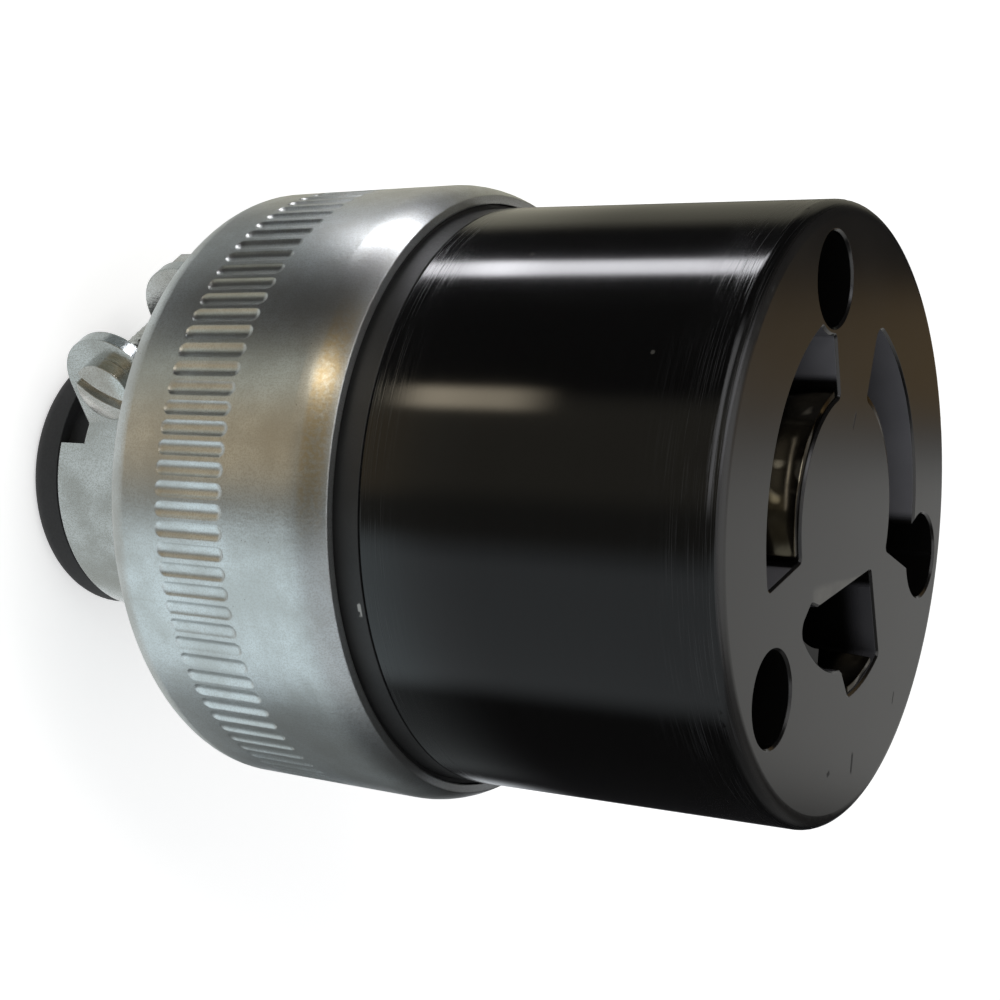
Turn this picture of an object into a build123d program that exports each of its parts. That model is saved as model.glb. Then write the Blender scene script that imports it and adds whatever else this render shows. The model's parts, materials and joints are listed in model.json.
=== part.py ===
from build123d import *
from math import acos, asin, atan2, cos, degrees, radians, sin, sqrt
import os

# Grounded locking socket connector, in millimetres.
# +Z is the mating axis out of the socket face. The part stands on the end of its cord grommet at Z = 0.
# Clock angles are measured from +Y, clockwise as seen from in front of the face.

# Lengths along the axis, from the rest plane up to the face
COLLAR_T = 2.9
COLLAR_ROOM = 0.3
EAR_MARGIN = 2.25
EAR_TO_SHELL = 4.15
SHELL_LENGTH = 17.9
RIM_SHOW = 1.6
BODY_LENGTH = 23.8

# Moulded front body
BODY_R = 19.8
BODY_WALL = 2.2
FACE_EDGE_R = 1.0
FACE_BEVEL = 0.15
SEAM_BEVEL = 0.2
RECESS_DEPTH = 5.0
SLOT_LAND = 6.8
SLOT_WIDTH = 5.1
SLOT_CORNER_R = 0.3
NEUTRAL_SLOT = (249.8, 340)
LINE_SLOT = (16, 104.5)
LINE_TIP_R = 1.0
HOLE_WALL = 0.5

# Ground slot: a blade part and a longer, narrower hook part with a shallow ledge
GROUND_LAND = 8.2
GROUND_BLADE_WIDTH = 5.65
GROUND_TIP = 124.3
GROUND_BLADE = (140.5, 169.3)
GROUND_HOOK = (176, 224.3)
GROUND_HOOK_STEP = 1.9
GROUND_HOOK_WIDTH = 2.25
GROUND_HOOK_R = 0.8
GROUND_BEND = 215
GROUND_BEND_STEP = 0.65
GROUND_LEDGE = (183, 217)
GROUND_LEDGE_WIDTH = 1.3
GROUND_LEDGE_DEPTH = 1.2

# Assembly screws and their threaded inserts
SCREW_CLOCKS = (-18, 99, 224.5)
SCREW_D = 3.5
HEAD_HOLE_D = 5.8
HEAD_HOLE_DEPTH = 13.0
HEAD_HEIGHT = 2.8
INSERT_D = 4.7
INSERT_LENGTH = 7.0
INSERT_EDGE = 0.1
BOSS_WALL = 1.0
TIP_ROOM = 1.5
DRIVE_WIDTH = 0.9
DRIVE_DEPTH = 1.0

# Contact plate and brass contacts
RETAINER_T = 3.0
LEAF_T = 0.4
LEAF_RECESS = 0.2
BACK_LEAF_DEPTH = 5.0
LEAF_BOW = 0.5
LEAF_END_ROOM = 0.1
GROUND_LEAF = (145, 167)
GROUND_GRIP = 3.9
FOOT_SPAN = 40
FOOT_LAND = 2.8
TERMINAL_LAND = 6.0
TERMINAL_D = 3.5
TERMINAL_HEAD_D = 6.4
TERMINAL_HEAD_HEIGHT = 1.8
TERMINAL_LENGTH = 3.2

# Strip that bonds the shell to the ground contact
STRIP_T = 0.5
STRIP_SPAN = 14

# Rear insulator
FLOOR_T = 2.0
RIM_STEP = 0.05
LIP_GAP = 0.35
LIP_TUCK = 0.3

# Drawn steel shell with its band of pressed grooves
SHELL_T = 0.6
SHELL_PROUD = 1.65
SHELL_TAPER = 0.3
LIP_ROLL = 2.7
CORNER_R = 2.1
GROOVE_COUNT = 102
GROOVE_LENGTH = 5.5
GROOVE_WIDTH = 1.0
GROOVE_DEPTH = 0.2
GROOVE_FROM_REAR = 4.8

# Cord grommet
CORD_BORE_D = 12.4
GROMMET_D = 18.2
GROMMET_EDGE_R = 0.8
COLLAR_PROUD = 0.95
COLLAR_EDGE_R = 1.4
GROMMET_FLANGE = 1.6
GROMMET_FLANGE_T = 1.5

# Two-piece cord clamp
CLAMP_T = 1.05
CLAMP_CLOCK = 233.3
EAR_R = 3.8
EAR_GAP = 9.0
SADDLE_HALF_SPAN = 48.5
EAR_BEND_R = 0.3
CLAMP_FLANGE = 2.8
CLAMP_SCREW_D = 2.8
CLAMP_HEAD_D = 4.5
CLAMP_HEAD_SIDE = 1.05
CLAMP_HEAD_CROWN = 0.35
CLAMP_DRIVE_DEPTH = 0.75
CLAMP_DRIVE_TURN = -33
CLAMP_NUT_WIDTH = 6.2
CLAMP_NUT_T = 2.4
CLAMP_SCREW_TIP = 1.0

# Fits
SEAT = 0.05
SLIDE = 0.15
SCREW_ROOM = 0.2
HEAD_ROOM = 0.2
WALL_ROOM = 0.3

# Heights that follow
Z_SADDLE = COLLAR_T + COLLAR_ROOM
Z_EAR = Z_SADDLE + EAR_MARGIN + EAR_R
Z_SHELL = Z_EAR + EAR_R + EAR_TO_SHELL
Z_SHELL_IN = Z_SHELL + SHELL_T
Z_LIP = Z_SHELL + SHELL_LENGTH
Z_SEAM = Z_LIP + RIM_SHOW
Z_FACE = Z_SEAM + BODY_LENGTH
Z_RETAINER_TOP = Z_SEAM + RECESS_DEPTH
Z_RETAINER = Z_RETAINER_TOP - RETAINER_T
Z_HEAD_SEAT = Z_FACE - HEAD_HOLE_DEPTH
Z_CLAMP_FLANGE = Z_SHELL_IN + SEAT
Z_FLANGE_TOP = Z_CLAMP_FLANGE + CLAMP_T
Z_FLOOR = Z_FLANGE_TOP + SEAT + FLOOR_T
Z_FOOT = Z_RETAINER - LEAF_T
Z_INSERT = Z_RETAINER - INSERT_LENGTH

# Radii that follow
RECESS_R = BODY_R - BODY_WALL
SLOT_OUT_R = BODY_R - SLOT_LAND
SLOT_IN_R = SLOT_OUT_R - SLOT_WIDTH
GROUND_BLADE_OUT_R = BODY_R - GROUND_LAND
GROUND_TIP_R = GROUND_BLADE_OUT_R - GROUND_BLADE_WIDTH
GROUND_HOOK_OUT_R = GROUND_BLADE_OUT_R - GROUND_HOOK_STEP
GROUND_HOOK_IN_R = GROUND_HOOK_OUT_R - GROUND_HOOK_WIDTH
GROUND_BEND_R = GROUND_HOOK_IN_R - GROUND_BEND_STEP
GROUND_GRIP_R = GROUND_BLADE_OUT_R - GROUND_GRIP
TERMINAL_POS_R = RECESS_R - TERMINAL_LAND
FOOT_END_R = RECESS_R - FOOT_LAND
SCREW_CIRCLE_R = RECESS_R - INSERT_D / 2 - INSERT_EDGE
RIM_R = BODY_R - RIM_STEP
LIP_R = RIM_R + LIP_GAP + SHELL_T
SHELL_R = BODY_R + SHELL_PROUD
SHELL_REAR_R = SHELL_R - SHELL_TAPER
GROOVE_TOOL_R = (GROOVE_WIDTH**2 / 4 + GROOVE_DEPTH**2) / (2 * GROOVE_DEPTH)
GROMMET_R = GROMMET_D / 2
COLLAR_R = GROMMET_R + COLLAR_PROUD
SADDLE_IN_R = GROMMET_R + SEAT
SADDLE_OUT_R = SADDLE_IN_R + CLAMP_T
CLAMP_FLANGE_R = SADDLE_OUT_R + CLAMP_FLANGE
SHELL_HOLE_R = SADDLE_OUT_R + WALL_ROOM
EAR_IN = EAR_GAP / 2
EAR_OUT = EAR_IN + CLAMP_T
EAR_BEND = sqrt(SADDLE_OUT_R**2 - EAR_OUT**2)
EAR_REACH = EAR_BEND + EAR_BEND_R + max(CLAMP_HEAD_D, CLAMP_NUT_WIDTH) / 2 + SEAT
FLOOR_HOLE_R = GROMMET_R + SLIDE
GROMMET_FLANGE_R = FLOOR_HOLE_R + GROMMET_FLANGE
STRIP_OUT_R = RECESS_R - SEAT
STRIP_IN_R = STRIP_OUT_R - STRIP_T


def polar(radius, clock):
    """A point at a radius and a clock angle."""
    return (radius * sin(radians(clock)), radius * cos(radians(clock)))


def place(radius, clock):
    """A shift off the axis to a radius and a clock angle."""
    return Pos(*polar(radius, clock))


def sector(inner, outer, start, end):
    """Flat ring sector between two radii and two clock angles."""
    with BuildSketch() as face:
        with BuildLine():
            CenterArc((0, 0), outer, 90 - end, end - start)
            Line(polar(outer, end), polar(inner, end))
            CenterArc((0, 0), inner, 90 - end, end - start)
            Line(polar(inner, start), polar(outer, start))
        make_face()
    return face.sketch


def prism(face, bottom, top):
    """A flat face raised between two heights."""
    return extrude(Pos(0, 0, bottom) * face, amount=top - bottom, dir=(0, 0, 1))


def rod(radius, bottom, top):
    """A round bar on the axis between two heights."""
    return prism(Circle(radius), bottom, top)


def swept_profile(profile, start, end):
    """A profile of radius and height, turned between two clock angles."""
    return Rot(0, 0, 90 - end) * revolve(profile, Axis.Z, revolution_arc=end - start)


def box_profile(r0, z0, r1, z1):
    """Rectangle of radius and height."""
    return Plane.XZ * Pos((r0 + r1) / 2, (z0 + z1) / 2) * Rectangle(r1 - r0, z1 - z0)


def slotted(head, width, depth, top):
    """A screw head with a straight driver slot cut down from its top."""
    size = head.bounding_box().size
    return head - Pos(0, 0, top) * Box(2 * size.X, width, 2 * depth)


def rounded(outline, corner, radius):
    """An outline with the corner nearest a point rounded by its own radius, and the others alike."""
    spot = Vector(*corner)
    corners = outline.vertices()
    own = min(corners, key=lambda v: (Vector(v) - spot).length)
    outline = fillet([v for v in corners if v is not own], SLOT_CORNER_R)
    own = min(outline.vertices(), key=lambda v: (Vector(v) - spot).length)
    return fillet(own, radius)


def neutral_slot():
    """Outline of the first curved blade slot, kept off the screw hole beside its end."""
    outline = sector(SLOT_IN_R, SLOT_OUT_R, *NEUTRAL_SLOT)
    outline -= place(SCREW_CIRCLE_R, SCREW_CLOCKS[0]) * Circle(HEAD_HOLE_D / 2 + HOLE_WALL)
    return fillet(outline.vertices(), SLOT_CORNER_R)


def line_slot():
    """Outline of the second curved blade slot, with a rounder first tip."""
    outline = sector(SLOT_IN_R, SLOT_OUT_R, *LINE_SLOT)
    return rounded(outline, polar(SLOT_OUT_R, LINE_SLOT[0]), LINE_TIP_R)


def ground_slot():
    """Outline of the ground slot: blade part, step and hook part."""
    blade_from, blade_to = GROUND_BLADE
    hook_from, hook_to = GROUND_HOOK
    tip = polar(GROUND_TIP_R, GROUND_TIP)
    bend = polar(GROUND_BEND_R, GROUND_BEND)
    hook_inner = polar(GROUND_HOOK_IN_R, hook_to)
    hook_outer = polar(GROUND_HOOK_OUT_R, hook_to)
    step_inner = polar(GROUND_HOOK_OUT_R, hook_from)
    step_outer = polar(GROUND_BLADE_OUT_R, blade_to)
    blade_end = polar(GROUND_BLADE_OUT_R, blade_from)
    with BuildSketch() as face:
        with BuildLine():
            Polyline(tip, bend, hook_inner, hook_outer)
            CenterArc((0, 0), GROUND_HOOK_OUT_R, 90 - hook_to, hook_to - hook_from)
            Line(step_inner, step_outer)
            CenterArc((0, 0), GROUND_BLADE_OUT_R, 90 - blade_to, blade_to - blade_from)
            Line(blade_end, tip)
        make_face()
    return rounded(face.sketch, hook_outer, GROUND_HOOK_R)


def front_body():
    """Moulded body with the socket face, its slots, the screw holes and the rear recess."""
    body = rod(BODY_R, Z_SEAM, Z_FACE)
    body = fillet(body.edges().group_by(Axis.Z)[-1], FACE_EDGE_R)
    body = chamfer(body.edges().group_by(Axis.Z)[0], SEAM_BEVEL)
    body -= rod(RECESS_R, Z_SEAM, Z_RETAINER_TOP)
    body -= prism(neutral_slot(), Z_RETAINER_TOP, Z_FACE)
    body -= prism(line_slot(), Z_RETAINER_TOP, Z_FACE)
    ledge_in_r = GROUND_HOOK_OUT_R - GROUND_LEDGE_WIDTH
    ledge = sector(ledge_in_r, GROUND_BLADE_OUT_R, *GROUND_LEDGE)
    opening = prism(ground_slot(), Z_RETAINER_TOP, Z_FACE)
    body -= opening - prism(ledge, Z_RETAINER_TOP, Z_FACE - GROUND_LEDGE_DEPTH)
    for clock in SCREW_CLOCKS:
        at = place(SCREW_CIRCLE_R, clock)
        body -= at * rod(HEAD_HOLE_D / 2, Z_HEAD_SEAT, Z_FACE)
        body -= at * rod(SCREW_D / 2 + SCREW_ROOM, Z_RETAINER_TOP, Z_HEAD_SEAT)
    face = body.faces().sort_by(Axis.Z)[-1]
    openings = [edge for wire in face.inner_wires() for edge in wire.edges()]
    return chamfer(openings, FACE_BEVEL)


def leaf_gap(centre_r, radius):
    """Angle that keeps a leaf end clear of a round corner with its centre at a radius."""
    return degrees(asin((radius + LEAF_END_ROOM) / centre_r))


END_GAP = leaf_gap(SLOT_IN_R + SLOT_CORNER_R, SLOT_CORNER_R)
TIP_GAP = leaf_gap(SLOT_OUT_R - LINE_TIP_R, LINE_TIP_R)
HOLE_GAP = leaf_gap(SCREW_CIRCLE_R, HEAD_HOLE_D / 2 + HOLE_WALL)
NEUTRAL_FRONT = (NEUTRAL_SLOT[0] + END_GAP, NEUTRAL_SLOT[1] - END_GAP)
NEUTRAL_BACK = (NEUTRAL_FRONT[0], SCREW_CLOCKS[0] + 360 - HOLE_GAP)
LINE_FRONT = (LINE_SLOT[0] + END_GAP, LINE_SLOT[1] - END_GAP)
LINE_BACK = (LINE_SLOT[0] + TIP_GAP, SCREW_CLOCKS[1] - HOLE_GAP)

Z_NEAR_FACE = Z_FACE - LEAF_RECESS
Z_DEEP = Z_FACE - BACK_LEAF_DEPTH

# Each contact: spans of its inner and outer leaf, the radii of the clip, and the tops of the leaves
CONTACTS = {
    "neutral": (NEUTRAL_FRONT, NEUTRAL_BACK, SLOT_IN_R + SEAT, SLOT_OUT_R - SEAT, Z_NEAR_FACE, Z_DEEP),
    "line": (LINE_FRONT, LINE_BACK, SLOT_IN_R + SEAT, SLOT_OUT_R - SEAT, Z_NEAR_FACE, Z_DEEP),
    "ground": (GROUND_LEAF, GROUND_LEAF, GROUND_GRIP_R, GROUND_BLADE_OUT_R - SEAT, Z_DEEP, Z_NEAR_FACE),
}


def terminal_clock(name):
    """Clock angle of a contact's terminal screw."""
    inner_span, outer_span = CONTACTS[name][:2]
    return (inner_span[0] + outer_span[1]) / 2


def leg_span(name):
    """Clock angles of the leg that passes through the retainer."""
    clock = terminal_clock(name)
    start, end = CONTACTS[name][0]
    return (max(clock - FOOT_SPAN / 2, start), min(clock + FOOT_SPAN / 2, end))


def foot_span(name):
    """Clock angles of the flat terminal foot."""
    clock = terminal_clock(name)
    return (clock - FOOT_SPAN / 2, clock + FOOT_SPAN / 2)


def contact(name):
    """Brass clip with a straight inner leaf, a bowed outer leaf, and a leg and foot for its terminal."""
    inner_span, outer_span, inner_r, outer_r, inner_top, outer_top = CONTACTS[name]
    base = Z_RETAINER_TOP
    web_top = base + LEAF_T
    inner_face = inner_r + LEAF_T
    middle = (base + outer_top) / 2
    with BuildSketch(Plane.XZ) as bowed:
        with BuildLine():
            Line((outer_r - LEAF_T, base), (outer_r, base))
            ThreePointArc((outer_r, base), (outer_r - LEAF_BOW, middle), (outer_r, outer_top))
            Line((outer_r, outer_top), (outer_r - LEAF_T, outer_top))
            ThreePointArc(
                (outer_r - LEAF_T, outer_top),
                (outer_r - LEAF_T - LEAF_BOW, middle),
                (outer_r - LEAF_T, base),
            )
        make_face()
    piece = swept_profile(bowed.sketch, *outer_span)
    piece += swept_profile(box_profile(inner_r, base, outer_r, web_top), *outer_span)
    piece += swept_profile(box_profile(inner_r, base, inner_face, inner_top), *inner_span)
    piece += swept_profile(box_profile(inner_r, Z_FOOT, inner_face, web_top), *leg_span(name))
    piece += swept_profile(box_profile(inner_r, Z_FOOT, FOOT_END_R, Z_RETAINER), *foot_span(name))
    hole = rod(TERMINAL_D / 2 + SEAT, Z_FOOT, Z_RETAINER)
    return piece - place(TERMINAL_POS_R, terminal_clock(name)) * hole


def contact_retainer():
    """Plate behind the front body, with slots for the contact legs and holes for the screws."""
    plate = rod(RECESS_R - SLIDE, Z_RETAINER, Z_RETAINER_TOP)
    terminal_hole = rod(TERMINAL_D / 2 + SCREW_ROOM, Z_RETAINER, Z_RETAINER_TOP)
    screw_hole = rod(SCREW_D / 2 + SCREW_ROOM, Z_RETAINER, Z_RETAINER_TOP)
    for name, values in CONTACTS.items():
        inner_r = values[2]
        margin = degrees(SLIDE / inner_r)
        start, end = leg_span(name)
        leg_slot = sector(inner_r - SLIDE, inner_r + LEAF_T + SLIDE, start - margin, end + margin)
        plate -= prism(leg_slot, Z_RETAINER, Z_RETAINER_TOP)
        plate -= place(TERMINAL_POS_R, terminal_clock(name)) * terminal_hole
    for clock in SCREW_CLOCKS:
        plate -= place(SCREW_CIRCLE_R, clock) * screw_hole
    return plate


def terminal_screw(name, seat):
    """Slotted binding screw that faces the wiring space."""
    shank = rod(TERMINAL_D / 2, seat, Z_RETAINER + TERMINAL_LENGTH - LEAF_T)
    head = rod(TERMINAL_HEAD_D / 2, seat - TERMINAL_HEAD_HEIGHT, seat)
    head = slotted(head, DRIVE_WIDTH, DRIVE_DEPTH, seat - TERMINAL_HEAD_HEIGHT)
    return place(TERMINAL_POS_R, terminal_clock(name)) * (shank + head)


def bonding_strip():
    """Bent strip from the ground terminal, down the wall of the insulator, to the shell."""
    clock = terminal_clock("ground")
    span = (clock - STRIP_SPAN / 2, clock + STRIP_SPAN / 2)
    pad_in_r = TERMINAL_POS_R - TERMINAL_HEAD_D / 2
    under = Z_FOOT - STRIP_T
    pad = swept_profile(box_profile(pad_in_r, under, FOOT_END_R, Z_FOOT), *foot_span("ground"))
    arm = swept_profile(box_profile(pad_in_r, under, STRIP_OUT_R, Z_FOOT), *span)
    drop = swept_profile(box_profile(STRIP_IN_R, Z_SHELL_IN + SEAT, STRIP_OUT_R, Z_FOOT), *span)
    hole = place(TERMINAL_POS_R, clock) * rod(TERMINAL_D / 2 + SEAT, under, Z_FOOT)
    return pad + arm + drop - hole


def lip_arc_radius(drop):
    """Radius of an arc that leaves the wall upright and turns in by a drop over the lip's roll."""
    return (LIP_ROLL**2 + drop**2) / (2 * drop)


def groove_tool():
    """Round-nosed bar, upright on the axis, that presses one groove."""
    half = (GROOVE_LENGTH - GROOVE_WIDTH) / 2
    nose = Sphere(GROOVE_TOOL_R)
    return rod(GROOVE_TOOL_R, -half, half) + Pos(0, 0, half) * nose + Pos(0, 0, -half) * nose


def steel_shell():
    """Drawn cup with a rolled lip, a rounded rear corner, a cord hole and a band of pressed grooves."""
    root = Z_LIP - LIP_ROLL
    with BuildSketch(Plane.XZ) as section:
        with BuildLine():
            TangentArc((SHELL_R, root), (LIP_R, Z_LIP), tangent=(0, 1))
            Line((LIP_R, Z_LIP), (LIP_R - SHELL_T, Z_LIP))
            TangentArc((SHELL_R - SHELL_T, root), (LIP_R - SHELL_T, Z_LIP), tangent=(0, 1))
            Polyline(
                (SHELL_R - SHELL_T, root),
                (SHELL_REAR_R - SHELL_T, Z_SHELL_IN),
                (SHELL_HOLE_R, Z_SHELL_IN),
                (SHELL_HOLE_R, Z_SHELL),
                (SHELL_REAR_R, Z_SHELL),
                (SHELL_R, root),
            )
        make_face()
        corners = section.vertices()
        fillet(corners.sort_by_distance((SHELL_REAR_R, Z_SHELL))[0], CORNER_R)
        corners = section.vertices()
        fillet(corners.sort_by_distance((SHELL_REAR_R - SHELL_T, Z_SHELL_IN))[0], CORNER_R - SHELL_T)
    shell = revolve(section.sketch, Axis.Z)
    middle = Z_SHELL + GROOVE_FROM_REAR + GROOVE_LENGTH / 2
    slope = SHELL_TAPER / (root - Z_SHELL)
    wall_r = SHELL_REAR_R + slope * (middle - Z_SHELL)
    tool = Rot(-degrees(atan2(slope, 1)), 0, 0) * groove_tool()
    tool = Pos(0, wall_r + GROOVE_TOOL_R - GROOVE_DEPTH, middle) * tool
    grooves = [Rot(0, 0, i * 360 / GROOVE_COUNT) * tool for i in range(GROOVE_COUNT)]
    return shell - grooves


def rear_insulator():
    """Moulded cup in the shell, with a rim at the seam, three screw bosses and a stepped floor."""
    root = Z_LIP - LIP_ROLL
    drop = SHELL_R - LIP_R
    shoulder_arc = lip_arc_radius(drop) - SHELL_T - 2 * SEAT
    arc_centre_r = SHELL_R - lip_arc_radius(drop)
    shoulder_z = Z_LIP - LIP_TUCK
    shoulder_r = arc_centre_r + sqrt(shoulder_arc**2 - (shoulder_z - root) ** 2)
    front_r = SHELL_R - SHELL_T - 2 * SEAT
    rear_r = SHELL_REAR_R - SHELL_T - 2 * SEAT
    bottom = Z_SHELL_IN + SEAT
    pocket_r = CLAMP_FLANGE_R + WALL_ROOM
    pocket_top = Z_FLANGE_TOP + SEAT
    with BuildSketch(Plane.XZ) as section:
        with BuildLine():
            TangentArc((front_r, root), (shoulder_r, shoulder_z), tangent=(0, 1))
            Polyline(
                (shoulder_r, shoulder_z),
                (RIM_R, shoulder_z),
                (RIM_R, Z_SEAM),
                (RECESS_R, Z_SEAM),
                (RECESS_R, Z_FLOOR),
                (FLOOR_HOLE_R, Z_FLOOR),
                (FLOOR_HOLE_R, pocket_top),
                (pocket_r, pocket_top),
                (pocket_r, bottom),
                (rear_r, bottom),
                (front_r, root),
            )
        make_face()
        fillet(section.vertices().sort_by_distance((rear_r, bottom))[0], CORNER_R - SHELL_T)
    cup = revolve(section.sketch, Axis.Z)
    boss_r = INSERT_D / 2 + SEAT + BOSS_WALL
    room = rod(RECESS_R + BOSS_WALL / 2, Z_FLOOR, Z_SEAM) + rod(RECESS_R - SLIDE, Z_SEAM, Z_RETAINER)
    for clock in SCREW_CLOCKS:
        at = place(SCREW_CIRCLE_R, clock)
        cup += (at * rod(boss_r, Z_FLOOR, Z_RETAINER)) & room
    for clock in SCREW_CLOCKS:
        at = place(SCREW_CIRCLE_R, clock)
        cup -= at * rod(INSERT_D / 2 + SEAT, Z_INSERT, Z_RETAINER)
        cup -= at * rod(SCREW_D / 2 + SCREW_ROOM, Z_INSERT - 2 * TIP_ROOM, Z_INSERT)
    clock = terminal_clock("ground")
    margin = degrees(SLIDE / STRIP_IN_R)
    slot_span = (clock - STRIP_SPAN / 2 - margin, clock + STRIP_SPAN / 2 + margin)
    cup -= prism(sector(STRIP_IN_R - SLIDE, RECESS_R, *slot_span), bottom, Z_FLOOR)
    return cup


def assembly_screws():
    """Three long fillister screws that draw the front body onto the rear insulator."""
    head_r = HEAD_HOLE_D / 2 - HEAD_ROOM
    top = Z_HEAD_SEAT + HEAD_HEIGHT
    head = slotted(rod(head_r, Z_HEAD_SEAT, top), DRIVE_WIDTH, DRIVE_DEPTH, top)
    screw = head + rod(SCREW_D / 2, Z_INSERT - TIP_ROOM, Z_HEAD_SEAT)
    return Compound(children=[place(SCREW_CIRCLE_R, clock) * screw for clock in SCREW_CLOCKS])


def assembly_inserts():
    """Three threaded brass inserts in the insulator's bosses."""
    insert = rod(INSERT_D / 2, Z_INSERT, Z_RETAINER) - rod(SCREW_D / 2 + SEAT, Z_INSERT, Z_RETAINER)
    return Compound(children=[place(SCREW_CIRCLE_R, clock) * insert for clock in SCREW_CLOCKS])


def cord_grommet():
    """Moulded sleeve for the cord, with a rounded collar outside the clamp and a flange inside the shell."""
    bore_r = CORD_BORE_D / 2
    top = Z_FLOOR + GROMMET_FLANGE_T
    with BuildSketch(Plane.XZ) as section:
        with BuildLine():
            Polyline(
                (bore_r, 0),
                (COLLAR_R, 0),
                (COLLAR_R, COLLAR_T),
                (GROMMET_R, COLLAR_T),
                (GROMMET_R, Z_FLOOR),
                (GROMMET_FLANGE_R, Z_FLOOR),
                (GROMMET_FLANGE_R, top),
                (bore_r, top),
                close=True,
            )
        make_face()
        fillet(section.vertices().sort_by_distance((bore_r, 0))[0], GROMMET_EDGE_R)
        fillet(section.vertices().sort_by_distance((COLLAR_R, 0))[0], COLLAR_EDGE_R)
    return revolve(section.sketch, Axis.Z)


def clamp_half():
    """Stamped saddle that opens towards -X, with an ear on each side and a flange inside the shell."""
    span = (90 - SADDLE_HALF_SPAN, 90 + SADDLE_HALF_SPAN)
    saddle = prism(sector(SADDLE_IN_R, SADDLE_OUT_R, *span), Z_SADDLE, Z_FLANGE_TOP)
    flange = prism(sector(SADDLE_IN_R, CLAMP_FLANGE_R, *span), Z_CLAMP_FLANGE, Z_FLANGE_TOP)
    bend = degrees(acos(EAR_IN / SADDLE_IN_R))
    ear_start = sqrt(SADDLE_IN_R**2 - EAR_IN**2)
    ear_end = EAR_REACH + EAR_R
    ear_middle = (EAR_IN + EAR_OUT) / 2
    strip = Pos(ear_middle, (ear_start + ear_end) / 2) * Rectangle(CLAMP_T, ear_end - ear_start)
    bent = sector(SADDLE_IN_R, SADDLE_OUT_R, 90 - bend, 90 + bend) + strip + mirror(strip, Plane.XZ)
    outside = [v for v in bent.vertices() if abs(v.X - EAR_OUT) < SEAT]
    bent = fillet([v for v in outside if abs(abs(v.Y) - EAR_BEND) < SEAT], EAR_BEND_R)
    ears = prism(bent, Z_EAR - EAR_R, Z_EAR + EAR_R)
    outline = SlotCenterToCenter(2 * EAR_REACH, 2 * EAR_R)
    side = Plane(origin=(0, 0, Z_EAR), x_dir=(0, 1, 0), z_dir=(1, 0, 0))
    ears &= extrude(side * outline, SADDLE_OUT_R + SEAT)
    holes = [side * Pos(y, 0) * Circle(CLAMP_SCREW_D / 2 + SCREW_ROOM) for y in (-EAR_REACH, EAR_REACH)]
    half = saddle + flange + ears
    for hole in holes:
        half -= extrude(hole, SADDLE_OUT_R)
    return half


def clamp_turn(angle):
    """Rotation that brings +X to a clock angle."""
    return Rot(0, 0, 90 - angle)


def clamp_screw():
    """Fillister-head slotted screw along +X, with its head on the near ear."""
    head_edge = EAR_OUT + CLAMP_HEAD_SIDE
    head_top = head_edge + CLAMP_HEAD_CROWN
    tip = EAR_OUT + CLAMP_NUT_T + CLAMP_SCREW_TIP
    head_r = CLAMP_HEAD_D / 2
    with BuildSketch(Plane.XZ) as section:
        with BuildLine():
            Polyline((0, EAR_OUT), (head_r, EAR_OUT), (head_r, head_edge))
            TangentArc((0, head_top), (head_r, head_edge), tangent=(1, 0))
            Line((0, head_top), (0, EAR_OUT))
        make_face()
    head = slotted(revolve(section.sketch, Axis.Z), DRIVE_WIDTH, CLAMP_DRIVE_DEPTH, head_top)
    screw = Rot(0, 0, CLAMP_DRIVE_TURN) * head + rod(CLAMP_SCREW_D / 2, -tip, EAR_OUT)
    return Rot(0, 90, 0) * screw


def clamp_nut():
    """Hexagon nut along -X on the far ear."""
    nut = RegularPolygon(CLAMP_NUT_WIDTH / 2, 6, major_radius=False)
    nut -= Circle(CLAMP_SCREW_D / 2 + SEAT)
    return Rot(0, 90, 0) * prism(nut, -EAR_OUT - CLAMP_NUT_T, -EAR_OUT)


def at_ears(piece):
    """A copy of a fastener at each ear, turned with the clamp."""
    spots = [Pos(0, y, Z_EAR) * piece for y in (-EAR_REACH, EAR_REACH)]
    return Compound(children=[clamp_turn(CLAMP_CLOCK) * spot for spot in spots])


NODES = {
    "front_body": front_body,
    "contact_retainer": contact_retainer,
    "neutral_contact": lambda: contact("neutral"),
    "line_contact": lambda: contact("line"),
    "ground_contact": lambda: contact("ground"),
    "neutral_terminal_screw": lambda: terminal_screw("neutral", Z_FOOT),
    "line_terminal_screw": lambda: terminal_screw("line", Z_FOOT),
    "ground_terminal_screw": lambda: terminal_screw("ground", Z_FOOT - STRIP_T),
    "bonding_strip": bonding_strip,
    "steel_shell": steel_shell,
    "rear_insulator": rear_insulator,
    "assembly_screws": assembly_screws,
    "assembly_inserts": assembly_inserts,
    "cord_grommet": cord_grommet,
    "clamp_half_near": lambda: clamp_turn(CLAMP_CLOCK) * clamp_half(),
    "clamp_half_far": lambda: clamp_turn(CLAMP_CLOCK + 180) * clamp_half(),
    "clamp_screws": lambda: at_ears(clamp_screw()),
    "clamp_nuts": lambda: at_ears(clamp_nut()),
}

os.makedirs("parts", exist_ok=True)
for node, make in NODES.items():
    export_step(make(), f"parts/{node}.step")
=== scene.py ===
import json
import math

import bpy
from mathutils import Matrix, Vector


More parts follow.
